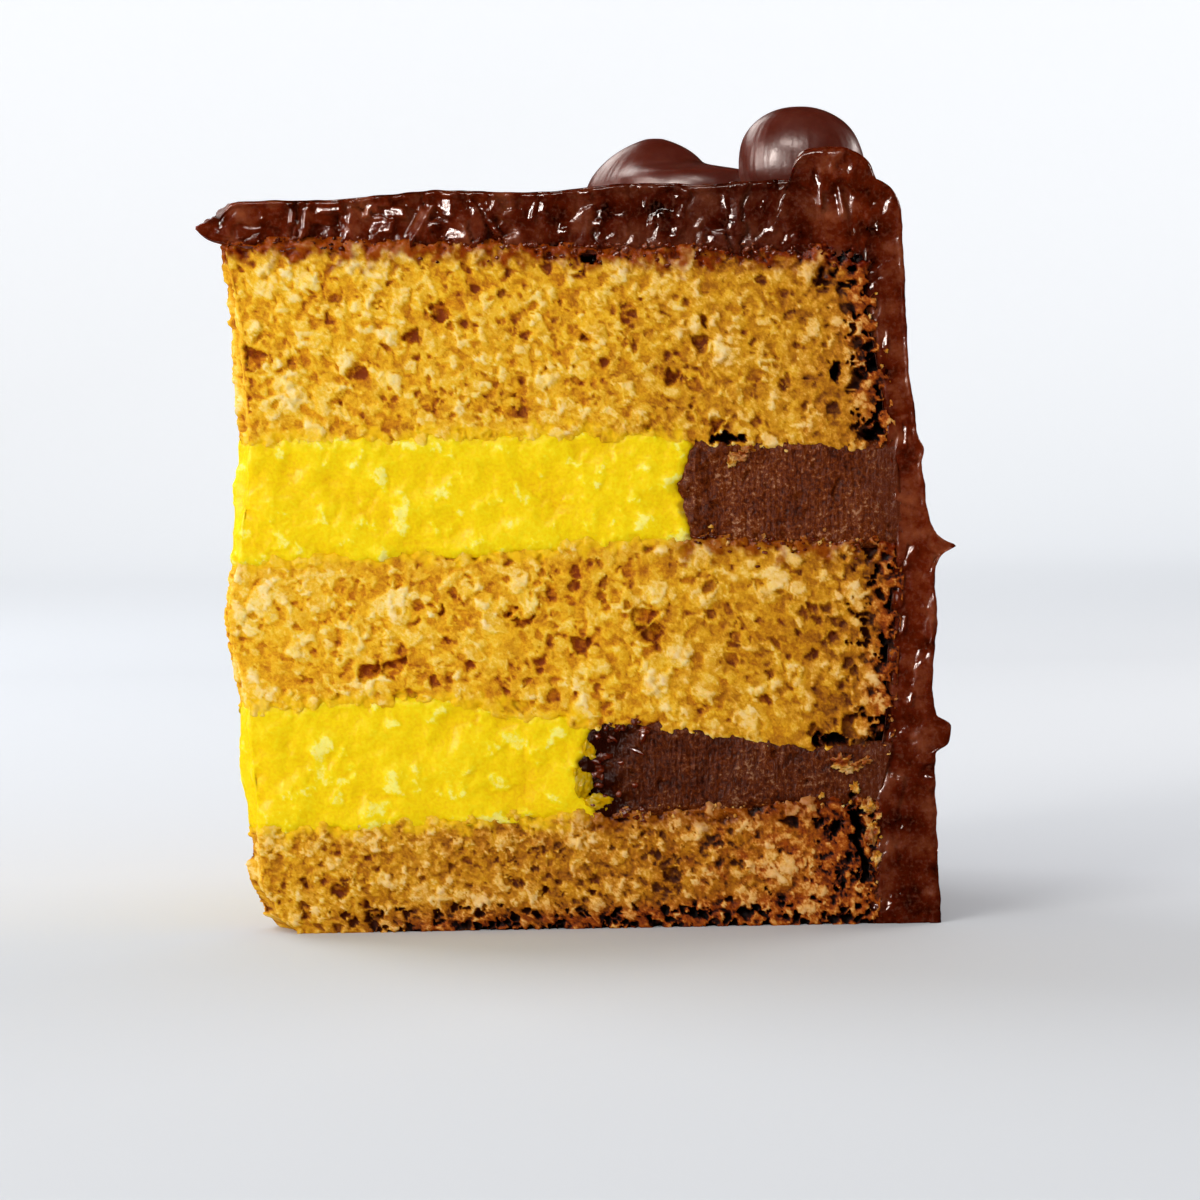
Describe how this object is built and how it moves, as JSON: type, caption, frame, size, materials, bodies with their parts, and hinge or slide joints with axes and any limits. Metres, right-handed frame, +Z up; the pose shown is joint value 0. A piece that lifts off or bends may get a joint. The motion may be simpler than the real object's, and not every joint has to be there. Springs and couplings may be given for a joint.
{
  "type": "slice of layer cake",
  "caption": "Slice of yellow sponge layer cake filled with lemon curd inside chocolate rings, coated with chocolate frosting, with piped chocolate kisses on the rim",
  "frame": {"origin": "on the plate, under the middle of the slice's footprint", "axes": "+Z up; the near cut face lies along X and faces -Y, with the slice's tip at -X and the cake's outside at +X"},
  "size_m": [0.1136, 0.085, 0.1254],
  "materials": {
    "sponge": "matt, open crumb",
    "curd": "moist, glossy",
    "filling_frosting": "satin, knife marks",
    "coat_frosting": "glossy, spread with a spatula"
  },
  "bodies": {
    "root": {"bottom_sponge": "sponge", "middle_sponge": "sponge", "top_sponge": "sponge", "lower_curd": "curd", "upper_curd": "curd", "lower_frosting_ring": "filling_frosting", "upper_frosting_ring": "filling_frosting", "frosting": "coat_frosting", "kiss_cut": "coat_frosting", "kiss_middle": "coat_frosting", "kiss_far": "coat_frosting"}
  },
  "joints": []
}
